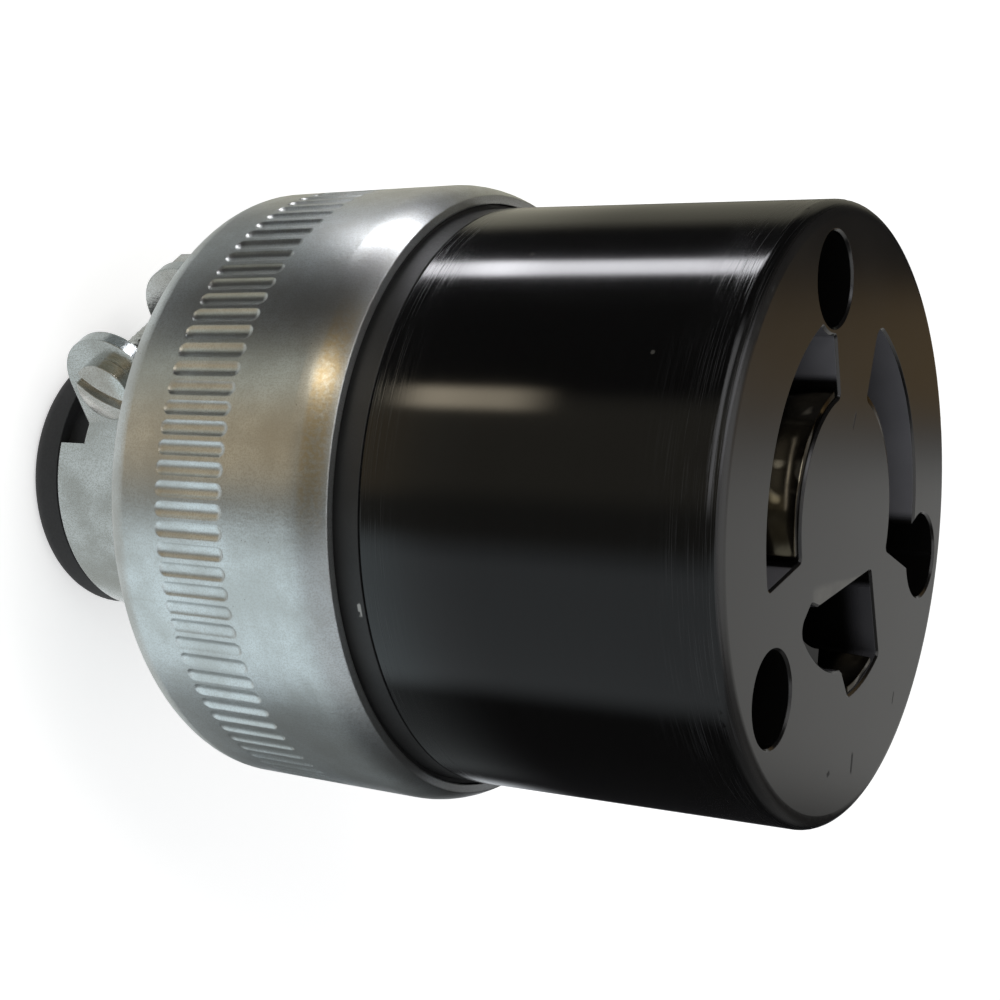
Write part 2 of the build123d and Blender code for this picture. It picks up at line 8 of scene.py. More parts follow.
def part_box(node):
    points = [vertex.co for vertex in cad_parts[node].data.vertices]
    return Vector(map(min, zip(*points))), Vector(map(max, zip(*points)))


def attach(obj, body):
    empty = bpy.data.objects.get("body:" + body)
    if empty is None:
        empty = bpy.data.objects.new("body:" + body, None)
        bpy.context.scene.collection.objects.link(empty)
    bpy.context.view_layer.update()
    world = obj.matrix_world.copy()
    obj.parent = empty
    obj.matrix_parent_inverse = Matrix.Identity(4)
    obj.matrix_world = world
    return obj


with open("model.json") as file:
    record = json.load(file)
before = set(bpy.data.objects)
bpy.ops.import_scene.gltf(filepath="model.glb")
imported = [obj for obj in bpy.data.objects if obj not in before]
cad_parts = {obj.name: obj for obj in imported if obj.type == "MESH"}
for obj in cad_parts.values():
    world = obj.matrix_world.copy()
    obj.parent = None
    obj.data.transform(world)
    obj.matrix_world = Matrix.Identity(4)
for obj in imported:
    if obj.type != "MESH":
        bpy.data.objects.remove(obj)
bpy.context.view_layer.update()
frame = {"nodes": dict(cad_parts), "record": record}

MM = 0.001
WHITE = (1, 1, 1, 1)
BLACK = (0, 0, 0, 1)

# Places read from the frame, in metres. The slots reach a little past the contacts in them.
body_low, body_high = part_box("front_body")
BODY_R = body_high.x
FACE_Z = body_high.z
SEAM_Z = body_low.z
LIP_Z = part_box("steel_shell")[1].z
CONTACT_GAP = 0.1 * MM
SLOT_R = CONTACT_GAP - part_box("neutral_contact")[0].x

# Camera: lengths in pixels of the picture, turns in radians, and the face's middle as it is seen
PHOTO_PX = 1000
FOCAL_PX = 1905.1
MIDDLE_PX = (488.4, 552.9)
YAW = 0.5366
TILT = -0.0675
FACE_IN_VIEW = Vector((1.1429, 0.1116, -6.0589)) * BODY_R
SENSOR_MM = 36.0
NEAREST = 0.01

# Floor and surroundings
FLOOR_HALF = 12.0
FLOOR_PAINT = (0.92, 0.92, 0.92, 1)
FLOOR_ROUGH = 0.9
FLOOR_GLOW = 0.44
SKY_LIGHT = 0.54

# Lamps: name, place and size in metres, power in watts, and colour
LAMPS = [
    ("key_lamp", (-0.25, 0.3, 0.45), 0.3, 1.1, (1.0, 0.98, 0.95)),
    ("fill_lamp", (-0.3, -0.35, 0.25), 0.35, 0.7, (0.93, 0.97, 1.0)),
]

# Light tent: a round wall that is brighter below, with a grey card round the part's foot that is
# painted shadow, standing for the floor shaded under the part as reflections show it
TENT_R = 36 * MM
TENT_TOP = 130 * MM
TENT_STEPS = 180
TENT_SHADE = (0.014, 0.014, 0.015)
LOW_GAIN = 2.0
LOW_FADE = (21 * MM, 36 * MM)
CARD_R = 12 * MM
CARD_Z = 0.3 * MM
CARD_FADE = (TENT_R - 2 * MM, TENT_R - 0.5 * MM)
# Painted shadow: the card's grey stands for the floor shaded under the part, in reflections
CARD_PAINTED_SHADOW = (0.33, 0.345, 0.34)

# Panels of light on the tent's wall: first and last angle and soft edge in degrees, lowest and
# highest place and soft edge in millimetres, and colour. A later panel lies over an earlier one.
# Angles of the first list are from the -X side towards +Y, and of the second from the +X side.
FRONT_PANELS = [
    (-98, -62, 16, 0, 24, 10, (0.09, 0.098, 0.1)),
    (-110, -52, 12, 66, 130, 8, (0.15, 0.15, 0.15)),
    (-12, 25, 4, 0, 130, 1, (0.085, 0.083, 0.073)),
    (-51, -19, 11, 0, 130, 1, (0.38, 0.41, 0.43)),
    (-51, -18, 11, 0, 25, 7, (0.42, 0.485, 0.51)),
    (5, 22, 9, 0, 130, 1, (0.2, 0.185, 0.15)),
    (4, 20, 8, 0, 25, 7, (0.235, 0.19, 0.125)),
    (25.0, 27.6, 3.2, 31, 36, 5, (3.5, 3.05, 2.3)),
    (24, 30, 6, 0, 22, 5, (0.24, 0.25, 0.22)),
    (67, 98, 9, 0, 15, 8, (0.12, 0.13, 0.13)),
    (70.2, 73.6, 3.0, 22, 31, 5, (4.4, 4.4, 4.6)),
    (70.2, 73.6, 3.0, 31, 52, 5, (8.0, 8.0, 8.4)),
    (104, 126, 12, 0, 60, 6, (0.26, 0.25, 0.2)),
    (-52, 20, 14, 96, 112, 8, (0.9, 0.9, 0.92)),
    (20, 66, 12, 94, 114, 8, (1.7, 1.7, 1.8)),
    (8, 40, 12, 60, 66, 2, (1.5, 1.5, 1.55)),
]
BACK_PANELS = [
    (-56, -28, 12, 0, 20, 12, (0.38, 0.4, 0.42)),
    (2, 34, 12, 0, 20, 12, (0.22, 0.21, 0.18)),
    (-42, -16, 12, 32, 54, 6, (0.3, 0.31, 0.33)),
    (34, 36, 4, 28, 54, 6, (2.6, 2.5, 2.4)),
    (16, 26, 8, 60, 130, 6, (0.245, 0.17, 0.085)),
    (-33, 2, 14, 60, 130, 6, (0.57, 0.57, 0.555)),
]

# Nicks in the socket face: x, y, slant, length and width, in millimetres and radians
FACE_NICKS = [
    (0.1, 6.1, 1.2, 1.3, 0.3),
    (3.6, -15.9, 1.5, 1.6, 0.45),
    (-0.6, -16.2, 0.4, 0.6, 0.4),
    (11.0, -12.1, 1.3, 1.0, 0.25),
]
# Pale patch along the ground slot's edge, where wear slopes it, painted as the lighter reflection of
# that slope: its wide end, its point and its width, in millimetres
EDGE_SHEEN_PATCH = (-5.1, -5.5, 4.6, -3.35, 1.3)
# Specks on the body's side: angle, height and size, in degrees and millimetres
SIDE_SPECKS = [(49.4, 43.9, 0.34), (26.2, 54.9, 0.3)]
# Screw holes in the face, in millimetres: the middle of each, and the width that clears it
SCREW_HOLES = [(-4.68, 14.41), (14.96, -2.37), (-10.62, -10.81)]
HOLE_CLEAR = 6.6
# The curved slots lie above the first fade or left of the second, outside the round core
CURVED_ABOVE = (-4.6 * MM, -4.1 * MM)
CURVED_LEFT = (-6.0 * MM, -5.6 * MM)
CORE_EDGE = (8.8 * MM, 9.4 * MM)
# Painted highlight on a chipped stretch of the insulator's rim, and yellow passivation on the shell's
# lip: first and last angle and soft edge in degrees, then lowest and highest place and soft edge in
# millimetres
CHIP_TURN = (-22.9, -20.9, 0.5)
CHIP_SPAN = (36.25, 36.4, 0.1)
PATINA_TURN = (2, 24, 13)
PATINA_SPAN = (LIP_Z / MM - 1.5, LIP_Z / MM - 0.5, 0.5)

# Colours of the front body and its marks
BODY_BLACK = (0.0022, 0.0021, 0.002)
TURNED_BLACK = (0.009, 0.009, 0.0095)
FACE_TONES = (0.006, 0.0055, 0.005), (0.0125, 0.0115, 0.0105)
# Painted light: the slot walls' grey is paler near the mouth and fades to black deeper in
DUST_AND_LIGHT_TONES = (0.055, 0.055, 0.062), (0.095, 0.094, 0.104)
NICK_BLACK = (0.003, 0.003, 0.003)
# Painted reflection: pale grey where the ground slot's edge slopes
RUBBED_PAINTED_SHEEN = (0.1, 0.097, 0.088)
SPECK_GREY = (0.06, 0.058, 0.052)
# Roughness of the bare body, and what each kind of mark adds
BODY_ROUGH = 0.1
ROUGHER = {
    "marks": 0.2, "cloud": 0.04, "face": 0.2, "ledge": 0.5, "dust_and_light": 0.4, "nicks": 0.3, "rubs_and_sheen": 0.15,
}

# Colours of the other marks and of the contacts
# Painted highlight: a pale stroke on the insulator's chipped rim
CHIP_PAINTED_HIGHLIGHT = (0.3, 0.31, 0.3)
PIT_BROWN = (0.14, 0.13, 0.11)
PATINA_GOLD = (0.5, 0.38, 0.18)
BRASS_TONES = (0.14, 0.12, 0.083), (0.07, 0.059, 0.041)
# Painted glints: pale spots on the contact strips
BRASS_PAINTED_GLINT = (0.78, 0.7, 0.52)
# Painted shade: the contacts darken deeper in the slots
BRASS_PAINTED_DEPTH_SHADE = (0.05, 0.042, 0.033)
# Painted shade on the contacts' upward-facing edges
BRASS_PAINTED_EDGE_SHADE = (0.05, 0.042, 0.03)

# Threads of the clamp screws between the ears, in millimetres and degrees as in the solids
CLAMP_CLOCK = 233.3
THREAD_TURN = 90 - CLAMP_CLOCK
THREAD_REACH = 12.008
THREAD_Z = 9.25
THREAD_HALF = 4.4
THREAD_PITCH = 0.64
THREAD_ROOT_R = 1.37
THREAD_CREST_R = 1.53
THREAD_FLANK = 0.25
THREAD_STEPS = 24
RIDGE_POINTS = 3


class Look:
    """A node material in the making, on one Principled shader."""

    def __init__(self, name):
        self.material = bpy.data.materials.new(name)
        self.material.use_nodes = True
        self.tree = self.material.node_tree
        self.shader = self.tree.nodes["Principled BSDF"]
        self.place = self.node("ShaderNodeTexCoord").outputs["Object"]

    def node(self, kind, **settings):
        """A new node with the given settings."""
        made = self.tree.nodes.new(kind)
        for key, value in settings.items():
            setattr(made, key, value)
        return made

    def feed(self, socket, value):
        """A link into a socket, or a plain value on it."""
        if isinstance(value, bpy.types.NodeSocket):
            self.tree.links.new(value, socket)
        else:
            socket.default_value = value

    def set(self, **inputs):
        """Values or links on the shader's own sockets, named with underscores."""
        for key, value in inputs.items():
            self.feed(self.shader.inputs[key.replace("_", " ")], value)

    def math(self, operation, *numbers):
        """One step of arithmetic."""
        made = self.node("ShaderNodeMath", operation=operation)
        for socket, number in zip(made.inputs, numbers):
            self.feed(socket, number)
        return made.outputs[0]

    def times(self, first, *others):
        """A product."""
        for other in others:
            first = self.math("MULTIPLY", first, other)
        return first

    def plus(self, first, *others):
        """A sum."""
        for other in others:
            first = self.math("ADD", first, other)
        return first

    def most(self, first, *others):
        """The highest of some numbers."""
        for other in others:
            first = self.math("MAXIMUM", first, other)
        return first

    def rest(self, share):
        """What is left of a share."""
        return self.math("SUBTRACT", 1.0, share)

    def hypot(self, a, b):
        """The length of a step of a along one axis and b along another."""
        return self.math("SQRT", self.plus(self.times(a, a), self.times(b, b)))

    def ramp(self, value, low, high, to_low=0.0, to_high=1.0):
        """A smooth step of a number between two values."""
        made = self.node("ShaderNodeMapRange", interpolation_type="SMOOTHSTEP")
        for socket, number in zip(made.inputs, (value, low, high, to_low, to_high)):
            self.feed(socket, number)
        return made.outputs[0]

    def fall(self, value, low, high):
        """A smooth step down, from 1 to 0."""
        return self.ramp(value, low, high, 1.0, 0.0)

    def window(self, value, low, high, soft):
        """A share that is 1 between two values and fades out over a soft edge."""
        return self.times(self.ramp(value, low - soft, low), self.fall(value, high, high + soft))

    def arc(self, turn, first, last, soft):
        """A share that is 1 between two angles in degrees."""
        return self.window(turn, *(math.radians(angle) for angle in (first, last, soft)))

    def span(self, low, high, soft):
        """A share that is 1 between two heights in millimetres."""
        return self.window(self.axes()[2], low * MM, high * MM, soft * MM)

    def mix(self, factor, first, second):
        """A blend of two colours."""
        made = self.node("ShaderNodeMix", data_type="RGBA")
        colours = [socket for socket in made.inputs if socket.type == "RGBA"]
        self.feed(made.inputs["Factor"], factor)
        for socket, colour in zip(colours, (first, second)):
            self.feed(socket, (*colour, 1) if isinstance(colour, tuple) else colour)
        return [socket for socket in made.outputs if socket.type == "RGBA"][0]

    def axes(self, source=None):
        """The x, y and z of a vector, or of the place in the frame."""
        made = self.node("ShaderNodeSeparateXYZ")
        self.feed(made.inputs[0], source or self.place)
        return made.outputs

    def join(self, x, y, z):
        """A vector from three numbers."""
        made = self.node("ShaderNodeCombineXYZ")
        for socket, number in zip(made.inputs, (x, y, z)):
            self.feed(socket, number)
        return made.outputs[0]

    def facing(self):
        """The upward part of the surface's own direction."""
        return self.axes(self.node("ShaderNodeNewGeometry").outputs["True Normal"])[2]

    def radius(self):
        """Distance from the axis."""
        x, y, _ = self.axes()
        return self.hypot(x, y)

    def turn(self):
        """Angle round the axis, from the -X side towards +Y."""
        x, y, _ = self.axes()
        return self.math("ARCTAN2", y, self.times(x, -1.0))

    def far_turn(self):
        """Angle round the axis, from the +X side towards +Y."""
        x, y, _ = self.axes()
        return self.math("ARCTAN2", y, x)

    def offset(self, x, y):
        """How far the place is from a point of a level face, along x and along y."""
        here_x, here_y, _ = self.axes()
        return self.math("SUBTRACT", here_x, x), self.math("SUBTRACT", here_y, y)

    def noise(self, scale, detail=3.0, vector=None, rough=0.5):
        """Soft noise, with its scale in features per metre."""
        made = self.node("ShaderNodeTexNoise")
        self.feed(made.inputs["Vector"], vector or self.place)
        self.feed(made.inputs["Scale"], scale)
        self.feed(made.inputs["Detail"], detail)
        self.feed(made.inputs["Roughness"], rough)
        return made.outputs[0]

    def streaks(self, per_turn, per_metre, detail):
        """Noise by the angle round the axis and the height, drawn out along one of them."""
        around = self.times(self.turn(), per_turn)
        along = self.times(self.axes()[2], per_metre)
        return self.noise(1.0, detail, self.join(around, 0.0, along))

    def specks(self, scale, size, soft=1.7):
        """Small round specks, one in each cell of a grid, 1 inside a speck."""
        made = self.node("ShaderNodeTexVoronoi")
        self.feed(made.inputs["Vector"], self.place)
        self.feed(made.inputs["Scale"], scale)
        return self.fall(made.outputs["Distance"], size, size * soft)

    def spot(self, x, y, size, inner=0.45, outer=0.55):
        """A round mark on a level face, 1 on the mark."""
        return self.fall(self.hypot(*self.offset(x, y)), size * inner, size * outer)

    def side_spot(self, angle, z, size, inner=0.35, outer=0.55):
        """A round mark on the body's side, by its angle and height."""
        turn = self.math("SUBTRACT", self.turn(), math.radians(angle))
        up = self.math("SUBTRACT", self.axes()[2], z)
        return self.fall(self.hypot(self.times(turn, BODY_R), up), size * inner, size * outer)

    def stroke(self, x, y, slant, length, width):
        """A short straight mark on a level face, 1 on the mark."""
        dx, dy = self.offset(x, y)
        c, s = math.cos(slant), math.sin(slant)
        along = self.math("ABSOLUTE", self.plus(self.times(dx, c), self.times(dy, s)))
        across = self.math("ABSOLUTE", self.plus(self.times(dx, -s), self.times(dy, c)))
        long_part = self.fall(along, length * 0.3, length * 0.5)
        return self.times(long_part, self.fall(across, width * 0.2, width * 0.5))

    def wedge(self, x0, y0, x1, y1, width):
        """A patch beside a line on a level face, that narrows to a point at the line's end."""
        dx, dy = self.offset(x0, y0)
        length = math.hypot(x1 - x0, y1 - y0)
        ux, uy = (x1 - x0) / length, (y1 - y0) / length
        along = self.plus(self.times(dx, ux), self.times(dy, uy))
        across = self.plus(self.times(dx, -uy), self.times(dy, ux))
        reach = self.ramp(along, 0.0, length, width, 0.0)
        near = self.fall(self.math("DIVIDE", across, reach), 0.45, 1.0)
        near = self.times(near, self.ramp(across, -0.3 * width, -0.1 * width))
        return self.times(near, self.window(along, 0.05 * length, 0.95 * length, 0.06 * length))

    def soft_edges(self, radius):
        """Normals rounded over the edges."""
        made = self.node("ShaderNodeBevel", samples=4)
        self.feed(made.inputs["Radius"], radius)
        return made.outputs[0]

    def relief(self, height, strength, distance, edge):
        """Normals with a small relief, rounded over the edges."""
        made = self.node("ShaderNodeBump")
        self.feed(made.inputs["Strength"], strength)
        self.feed(made.inputs["Distance"], distance)
        self.feed(made.inputs["Height"], height)
        self.feed(made.inputs["Normal"], self.soft_edges(edge))
        return made.outputs[0]


def slot_dust_and_light(look):
    """Dusty grey on the slots' walls, with painted light: paler near the face and fading to black
    deeper in, down to 9 mm in the curved ones and only at the mouth of the ground slot.
    """
    x, y, z = look.axes()
    radius = look.radius()
    holes = [look.spot(over * MM, up * MM, HOLE_CLEAR * MM) for over, up in SCREW_HOLES]
    wall = look.fall(look.facing(), 0.1, 0.3)
    inside = look.fall(radius, SLOT_R, SLOT_R + 0.3 * MM)
    slot = look.times(wall, inside, look.rest(look.most(*holes)))
    curved = look.most(look.ramp(y, *CURVED_ABOVE), look.fall(x, *CURVED_LEFT))
    # Painted light: the walls are paler near the face and fade to black deeper in
    deep = look.ramp(z, FACE_Z - 9 * MM, FACE_Z - 1 * MM)
    mouth = look.ramp(z, FACE_Z - 2.4 * MM, FACE_Z - 0.6 * MM, 0.0, 0.45)
    far_in = look.times(curved, deep, look.ramp(radius, *CORE_EDGE))
    return look.times(slot, look.plus(far_in, look.times(look.rest(curved), mouth)))


def turning_marks(look):
    """Fine rings left by turning, strongest near both ends of the body."""
    z = look.axes()[2]
    near_seam = look.fall(z, SEAM_Z + 0.6 * MM, SEAM_Z + 4 * MM)
    near_face = look.ramp(z, FACE_Z - 6 * MM, FACE_Z - 1.5 * MM)
    ends = look.plus(look.most(near_seam, near_face), 0.1)
    return look.times(ends, look.ramp(look.streaks(3.5, 15000.0, 2.0), 0.5, 0.72))


def body_shares(look):
    """Where the body's face, ledges, clouding and kinds of marks are, by name."""
    level = look.ramp(look.facing(), 0.6, 0.95)
    face = look.times(level, look.ramp(look.axes()[2], FACE_Z - 0.5 * MM, FACE_Z - 0.2 * MM))
    outside = look.ramp(look.radius(), BODY_R - 0.5 * MM, BODY_R - 0.2 * MM)
    skin = look.times(look.rest(level), outside)
    nicks = [
        look.stroke(x * MM, y * MM, slant, length * MM, width * MM)
        for x, y, slant, length, width in FACE_NICKS
    ]
    specks = [look.side_spot(angle, up * MM, size * MM) for angle, up, size in SIDE_SPECKS]
    patch_mottle = look.ramp(look.noise(1100.0), 0.3, 0.6, 0.5, 1.0)
    return {
        "face": face,
        "ledge": look.math("SUBTRACT", level, face),
        "cloud": look.noise(260.0, 4.0),
        "marks": look.times(skin, turning_marks(look)),
        "dust_and_light": slot_dust_and_light(look),
        "nicks": look.times(look.most(*nicks), face),
        "rubs_and_sheen": look.times(look.wedge(*(value * MM for value in EDGE_SHEEN_PATCH)), face, patch_mottle),
        "specks": look.times(look.most(*specks), skin),
    }


def body_colour(look, on):
    """Black, with a greyer face, dusty grey with painted light on the slot walls, darker nicks, a
    painted pale reflection on the ground slot's sloped edge, and pale specks.
    """
    colour = look.mix(on["marks"], BODY_BLACK, TURNED_BLACK)
    colour = look.mix(on["face"], colour, look.mix(on["cloud"], *FACE_TONES))
    # Dusty grey with painted light on the slot walls
    colour = look.mix(on["dust_and_light"], colour, look.mix(on["cloud"], *DUST_AND_LIGHT_TONES))
    colour = look.mix(on["nicks"], colour, NICK_BLACK)
    # Painted reflection of the sloped edge, in pale grey
    colour = look.mix(look.times(on["rubs_and_sheen"], 0.8), colour, RUBBED_PAINTED_SHEEN)
    return look.mix(look.times(on["specks"], 0.6), colour, SPECK_GREY)


def phenolic_look():
    """Polished black moulding: turning marks near both ends, a duller face, dusty slot walls with
    painted light, and a painted pale reflection on the ground slot's edge.
    """
    look = Look("body_phenolic")
    on = body_shares(look)
    rough = look.plus(BODY_ROUGH, *(look.times(on[name], more) for name, more in ROUGHER.items()))
    height = look.plus(look.times(on["marks"], 0.7), look.times(look.noise(2600.0, 2.0), 0.12))
    height = look.math("SUBTRACT", height, look.times(on["nicks"], 3.0))
    look.set(Base_Color=body_colour(look, on), Roughness=rough, IOR=1.54)
    look.set(Normal=look.relief(height, 0.2, 0.02 * MM, 0.08 * MM))
    return look.material


def rim_chip_highlight(look):
    """A painted highlight, broken up, on a chipped stretch of the insulator's rim."""
    broken = look.ramp(look.noise(2200.0, 2.0), 0.4, 0.5)
    return look.times(look.arc(look.turn(), *CHIP_TURN), look.span(*CHIP_SPAN), broken, 0.8)


def moulding_look(name, dark, light, rough, chip_highlight=None):
    """Dull moulding with a fine grain, faint clouding and, on the insulator, a painted highlight on
    its chipped rim.
    """
    look = Look(name)
    grain = look.noise(5200.0, 2.0)
    colour = look.mix(look.noise(320.0, 4.0), dark, light)
    if chip_highlight:
        # Painted highlight on the chipped rim
        colour = look.mix(rim_chip_highlight(look), colour, chip_highlight)
    look.set(Base_Color=colour, IOR=1.5, Roughness=look.plus(rough, look.times(grain, 0.2)))
    look.set(Normal=look.relief(grain, 0.35, 0.02 * MM, 0.12 * MM))
    return look.material


def lip_patina(look):
    """Faint yellow passivation that is left on one stretch of the shell's rolled lip."""
    mottle = look.ramp(look.noise(3600.0), 0.32, 0.62, 0.35, 1.0)
    return look.times(look.arc(look.turn(), *PATINA_TURN), look.span(*PATINA_SPAN), mottle, 0.6)


def zinc_look(name, bright, dull, stain, rough, patina=None):
    """Zinc plate on steel: satin, with clouded patches, stains and a fine grain."""
    look = Look(name)
    cloud = look.noise(210.0, 5.0, rough=0.6)
    grain = look.noise(4200.0)
    drawn = look.streaks(95.0, 260.0, 3.0)
    pits = look.times(look.specks(1500.0, 0.05), look.ramp(look.noise(420.0), 0.52, 0.62))
    old = look.ramp(look.noise(120.0, 4.0), 0.5, 0.72, 0.0, 0.5)
    sand = look.ramp(look.noise(9000.0, 1.0), 0.4, 0.66, 0.0, 0.45)
    colour = look.mix(look.ramp(cloud, 0.35, 0.68), bright, dull)
    colour = look.mix(old, colour, stain)
    colour = look.mix(look.ramp(drawn, 0.55, 0.75, 0.0, 0.25), colour, stain)
    colour = look.mix(look.times(pits, 0.5), colour, PIT_BROWN)
    colour = look.mix(sand, colour, stain)
    if patina:
        colour = look.mix(lip_patina(look), colour, patina)
    wear = look.plus(rough, look.times(cloud, 0.16), look.times(grain, 0.12), look.times(pits, 0.2))
    height = look.plus(grain, look.times(drawn, 0.3))
    look.set(Base_Color=colour, Metallic=1.0, Roughness=wear)
    look.set(Normal=look.relief(height, 0.35, 0.025 * MM, 0.15 * MM))
    return look.material


def contact_look():
    """Dark brass strip with its lead-in bent, painted glints in pale spots, and painted shade deeper
    in the slot and on its upward edges.
    """
    look = Look("contact_brass")
    z = look.axes()[2]
    upright = look.fall(look.facing(), 0.3, 0.7)
    # Painted shade, stronger deeper in the slot
    deep = look.ramp(z, FACE_Z - 4.2 * MM, FACE_Z - 0.9 * MM, 0.85, 0.0)
    cloud = look.noise(420.0, 5.0, rough=0.62)
    # Painted glints in pale spots
    painted_glints = look.ramp(look.noise(560.0, 1.0), 0.58, 0.68)
    colour = look.mix(look.ramp(cloud, 0.36, 0.66), *BRASS_TONES)
    colour = look.mix(painted_glints, colour, BRASS_PAINTED_GLINT)
    colour = look.mix(deep, colour, BRASS_PAINTED_DEPTH_SHADE)
    # Painted shade on the upward-facing edges
    colour = look.mix(upright, BRASS_PAINTED_EDGE_SHADE, colour)
    lead_in = look.ramp(z, FACE_Z - 2.6 * MM, FACE_Z - 0.2 * MM, 0.9, 0.0)
    height = look.plus(lead_in, look.times(look.noise(300.0, 0.0), 1.1))
    look.set(Base_Color=colour, Metallic=1.0, Roughness=look.plus(0.05, look.times(cloud, 0.2)))
    look.set(Normal=look.relief(height, 1.0, 0.8 * MM, 0.12 * MM))
    return look.material


def metal_look(name, bright, tarnish, rough):
    """Turned or stamped metal with tarnish in patches."""
    look = Look(name)
    cloud = look.noise(420.0, 5.0, rough=0.62)
    grain = look.noise(6000.0, 2.0)
    look.set(Base_Color=look.mix(look.ramp(cloud, 0.38, 0.68), bright, tarnish), Metallic=1.0)
    look.set(Roughness=look.plus(look.times(cloud, 0.3), rough))
    look.set(Normal=look.relief(grain, 0.2, 0.02 * MM, 0.1 * MM))
    return look.material


def lacquer_look(name, light, dark):
    """Lacquer on a screw, thin and slightly uneven."""
    look = Look(name)
    cloud = look.noise(900.0, 4.0)
    look.set(Base_Color=look.mix(cloud, light, dark), Coat_Weight=0.6, Coat_Roughness=0.12)
    look.set(Roughness=look.plus(0.25, look.times(cloud, 0.2)))
    look.set(Normal=look.soft_edges(0.1 * MM))
    return look.material


def dress_nodes():
    """Each CAD node gets the material of its record slot."""
    looks = {
        "body_phenolic": phenolic_look(),
        "retainer_phenolic": moulding_look(
            "retainer_phenolic", (0.02, 0.014, 0.011), (0.045, 0.032, 0.026), 0.4
        ),
        "insulator_black": moulding_look(
            "insulator_black", (0.006, 0.006, 0.006), (0.018, 0.018, 0.018), 0.42, chip_highlight=CHIP_PAINTED_HIGHLIGHT
        ),
        "shell_zinc": zinc_look(
            "shell_zinc", (0.66, 0.685, 0.69), (0.52, 0.53, 0.52), (0.43, 0.42, 0.39), 0.22,
            patina=PATINA_GOLD
        ),
        "clamp_zinc": zinc_look(
            "clamp_zinc", (0.62, 0.66, 0.67), (0.42, 0.44, 0.43), (0.3, 0.3, 0.27), 0.06
        ),
        "screw_steel": zinc_look(
            "screw_steel", (0.68, 0.69, 0.68), (0.46, 0.46, 0.44), (0.32, 0.3, 0.25), 0.05
        ),
        "contact_brass": contact_look(),
        "screw_brass": metal_look("screw_brass", (0.8, 0.6, 0.3), (0.55, 0.38, 0.18), 0.16),
        "screw_nickel": metal_look("screw_nickel", (0.72, 0.7, 0.66), (0.5, 0.48, 0.44), 0.14),
        "screw_green": lacquer_look("screw_green", (0.03, 0.26, 0.09), (0.015, 0.13, 0.05)),
        "grommet_rubber": moulding_look(
            "grommet_rubber", (0.004, 0.004, 0.0045), (0.01, 0.01, 0.0115), 0.62
        ),
    }
    for part in frame["record"]["subparts"]:
        slots = frame["nodes"][part["node"]].data.materials
        slots.clear()
        slots.append(looks[part["material_slot"]])
    return looks


def mesh_object(name, points, faces):
    """A mesh from points and faces, in the frame."""
    mesh = bpy.data.meshes.new(name)
    mesh.from_pydata(points, [], faces)
    made = bpy.data.objects.new(name, mesh)
    bpy.context.scene.collection.objects.link(made)
    return made


def thread_points(side):
    """Rings of three points along the ridge of one screw's thread."""
    turn = Matrix.Rotation(math.radians(THREAD_TURN), 3, "Z")
    count = round(2 * THREAD_HALF / THREAD_PITCH * THREAD_STEPS)
    points = []
    for i in range(count + 1):
        angle = math.tau * i / THREAD_STEPS
        middle = -THREAD_HALF + THREAD_PITCH * i / THREAD_STEPS
        ridge = [
            (middle - THREAD_FLANK, THREAD_ROOT_R),
            (middle, THREAD_CREST_R),
            (middle + THREAD_FLANK, THREAD_ROOT_R),
        ]
        for along, r in ridge:
            point = (along, side * THREAD_REACH + r * math.cos(angle), THREAD_Z + r * math.sin(angle))
            points.append(turn @ Vector(point) * MM)
    return points


def make_threads(material):
    """Thread ridges on the bare part of both clamp screws."""
    points = []
    faces = []
    for side in (-1, 1):
        first = len(points)
        points += thread_points(side)
        last = len(points) - RIDGE_POINTS
        for here in range(first, last, RIDGE_POINTS):
            beyond = here + RIDGE_POINTS
            for k in range(RIDGE_POINTS):
                n = (k + 1) % RIDGE_POINTS
                faces.append((here + k, beyond + k, beyond + n, here + n))
        faces += [(first, first + 1, first + 2), (last + 2, last + 1, last)]
    threads = mesh_object("clamp_screw_threads", points, faces)
    threads.data.materials.append(material)
    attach(threads, "root")


def seen_share(tree):
    """1 for what is seen straight, in a reflection or through something, and 0 for plain lighting."""
    path = tree.nodes.new("ShaderNodeLightPath").outputs
    seen = path["Is Camera Ray"]
    for kind in ("Is Glossy Ray", "Is Transmission Ray"):
        either = tree.nodes.new("ShaderNodeMath")
        either.operation = "MAXIMUM"
        tree.links.new(seen, either.inputs[0])
        tree.links.new(path[kind], either.inputs[1])
        seen = either.outputs[0]
    return seen


def make_floor():
    """Plain white floor that keeps a soft shadow."""
    half = FLOOR_HALF
    points = [(-half, -half, 0), (half, -half, 0), (half, half, 0), (-half, half, 0)]
    floor = mesh_object("floor", points, [(0, 1, 2, 3)])
    look = Look("floor_white")
    glow = look.times(seen_share(look.tree), FLOOR_GLOW)
    look.set(Base_Color=FLOOR_PAINT, Roughness=FLOOR_ROUGH, Specular_IOR_Level=0.0)
    look.set(Emission_Color=WHITE, Emission_Strength=glow)
    floor.data.materials.append(look.material)


def add_panels(look, light, turn, panels):
    """Soft-edged panels laid over a wall's light."""
    for first, last, soft, low, high, fade, colour in panels:
        share = look.times(look.arc(turn, first, last, soft), look.span(low, high, fade))
        light = look.mix(share, light, colour)
    return light


def tent_light():
    """Panels of light on a dim wall, stronger near the floor, and a grey card round the foot as
    painted shadow of the floor under the part.
    """
    look = Look("tent_light")
    light = add_panels(look, TENT_SHADE, look.turn(), FRONT_PANELS)
    light = add_panels(look, light, look.far_turn(), BACK_PANELS)
    # The card's grey is painted shadow of the floor under the part
    light = look.mix(look.fall(look.radius(), *CARD_FADE), light, CARD_PAINTED_SHADOW)
    gain = look.ramp(look.axes()[2], *LOW_FADE, LOW_GAIN, 1.0)
    look.set(Base_Color=BLACK, Specular_IOR_Level=0.0, Roughness=1.0)
    look.set(Emission_Color=light, Emission_Strength=gain)
    return look.material


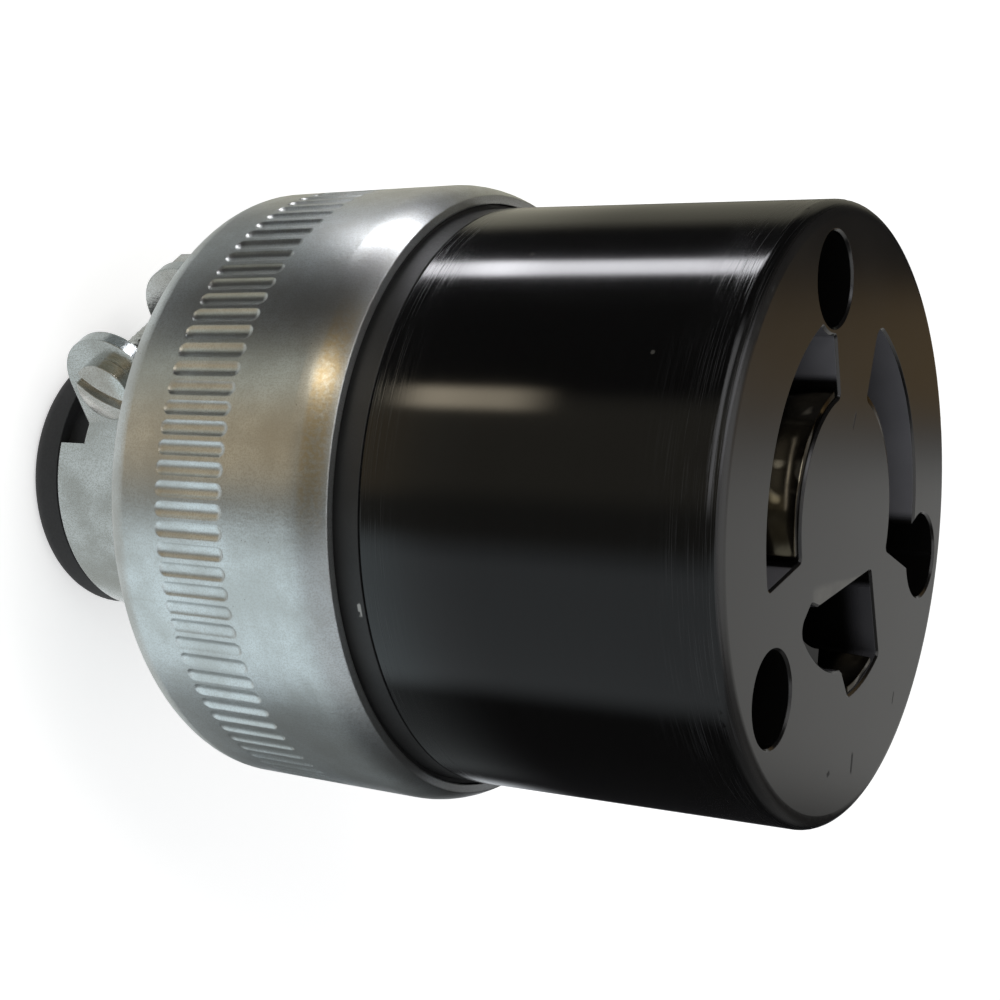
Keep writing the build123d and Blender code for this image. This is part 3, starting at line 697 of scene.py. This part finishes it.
def make_tent():
    """Round wall of a light tent with a card of painted shadow at its foot, which only reflections
    show.
    """
    points = []
    faces = []
    rings = [(CARD_R, CARD_Z), (TENT_R, CARD_Z), (TENT_R, TENT_TOP)]
    for i in range(TENT_STEPS):
        turn = math.tau * i / TENT_STEPS
        points += [(r * math.cos(turn), r * math.sin(turn), z) for r, z in rings]
        here, beyond = len(rings) * i, len(rings) * ((i + 1) % TENT_STEPS)
        for k in range(len(rings) - 1):
            faces.append((here + k, here + k + 1, beyond + k + 1, beyond + k))
    tent = mesh_object("tent_wall", points, faces)
    tent.data.materials.append(tent_light())
    tent.visible_camera = False
    tent.visible_diffuse = False
    tent.visible_shadow = False
    tent.visible_transmission = False


def make_world():
    """Even pale surroundings, white where they are seen."""
    world = bpy.data.worlds.new("studio")
    world.use_nodes = True
    tree = world.node_tree
    level = tree.nodes.new("ShaderNodeMapRange")
    level.inputs["To Min"].default_value = SKY_LIGHT
    tree.links.new(seen_share(tree), level.inputs["Value"])
    sky = tree.nodes["Background"].inputs
    sky["Color"].default_value = WHITE
    tree.links.new(level.outputs[0], sky["Strength"])
    bpy.context.scene.world = world


def make_lamp(name, place, size, power, colour):
    """A soft square lamp that points at the part."""
    lamp = bpy.data.lights.new(name, "AREA")
    lamp.size = size
    lamp.energy = power
    lamp.color = colour
    made = bpy.data.objects.new(name, lamp)
    made.location = place
    aim = Vector((0, 0, FACE_Z / 2)) - made.location
    made.rotation_euler = aim.to_track_quat("-Z", "Y").to_euler()
    bpy.context.scene.collection.objects.link(made)


def camera_axes():
    """Right, up and out of the camera, each as its parts along the frame's axes."""
    out = Vector((math.cos(YAW) * math.cos(TILT), math.sin(TILT), math.sin(YAW) * math.cos(TILT)))
    up = Vector((0, 1, 0))
    up = (up - up.dot(out) * out).normalized()
    return up.cross(out), up, out


def make_camera():
    """Camera at the photo's viewing angle, rolled so that the part lies along the picture."""
    axes = camera_axes()
    place = Vector((0, 0, FACE_Z)) - Vector([FACE_IN_VIEW.dot(axis) for axis in axes])
    turn = Matrix([[axis[i] for i in range(3)] for axis in axes])
    data = bpy.data.cameras.new("photo_camera")
    data.sensor_width = SENSOR_MM
    data.lens = FOCAL_PX / PHOTO_PX * SENSOR_MM
    data.shift_x = 0.5 - MIDDLE_PX[0] / PHOTO_PX
    data.shift_y = MIDDLE_PX[1] / PHOTO_PX - 0.5
    data.clip_start = NEAREST
    made = bpy.data.objects.new("photo_camera", data)
    made.matrix_world = Matrix.Translation(place) @ turn.to_4x4()
    bpy.context.scene.collection.objects.link(made)
    bpy.context.scene.camera = made


looks = dress_nodes()
make_threads(looks["screw_steel"])
make_floor()
make_tent()
make_world()
for lamp_values in LAMPS:
    make_lamp(*lamp_values)
make_camera()
bpy.context.scene.view_settings.view_transform = "Standard"
